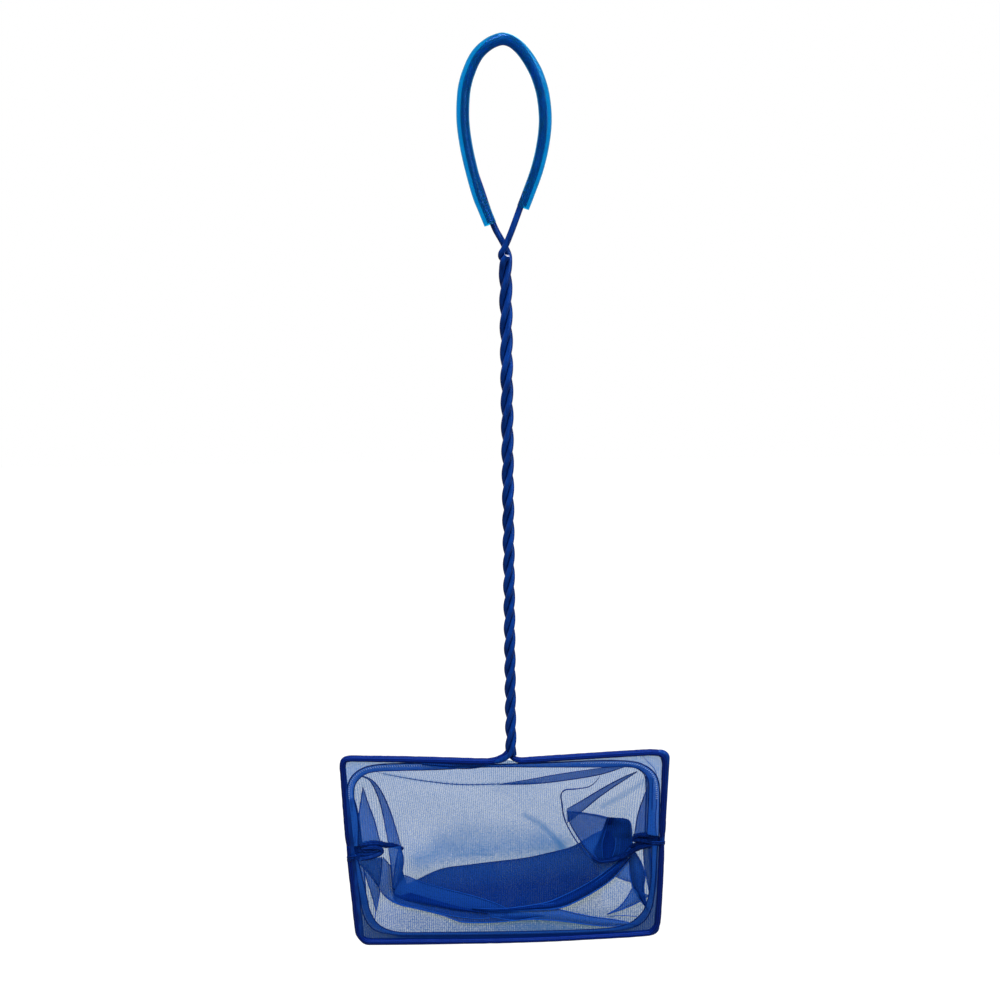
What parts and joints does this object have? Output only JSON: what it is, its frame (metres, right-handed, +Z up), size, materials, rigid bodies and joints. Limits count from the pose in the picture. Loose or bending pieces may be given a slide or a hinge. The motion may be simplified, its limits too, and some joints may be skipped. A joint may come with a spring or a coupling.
{
  "type": "aquarium fish net",
  "caption": "Hand net for an aquarium: soft blue mesh bag on a bent wire mouth frame, a long twisted coated-wire handle and a hanging loop in a clear tube.",
  "frame": {"origin": "where a hook bears, under the top of the grip tube round the hanging loop", "axes": "+X to the right seen from the open side of the mouth, +Y back towards the closed end of the bag, +Z up along the handle"},
  "size_m": [0.1307, 0.0375, 0.365],
  "materials": {
    "wire_core": "satin",
    "wire_coating": "gloss",
    "grip": "gloss",
    "mesh": "matte",
    "hem_mesh": "matte",
    "band_mesh": "matte",
    "seam_thread": "matte"
  },
  "bodies": {
    "root": {"coating_free_strand": "wire_coating", "coating_top_bar_right": "wire_coating", "coating_right_bar": "wire_coating", "coating_bottom_bar": "wire_coating", "coating_left_bar": "wire_coating", "coating_top_bar_left": "wire_coating", "coating_left_strand": "wire_coating", "coating_left_leg": "wire_coating", "coating_loop": "wire_coating", "coating_right_leg": "wire_coating", "coating_right_strand": "wire_coating", "steel_wire": "wire_core", "grip_tube": "grip", "hem_upper_left": "hem_mesh", "hem_upper_right": "hem_mesh", "hem_lower": "hem_mesh", "hem_band_upper": "band_mesh", "hem_band_lower": "band_mesh", "side_seam_left": "seam_thread", "end_seam": "seam_thread", "side_seam_right": "seam_thread", "bag_upper_panel": "mesh", "bag_lower_panel": "mesh"}
  },
  "joints": []
}
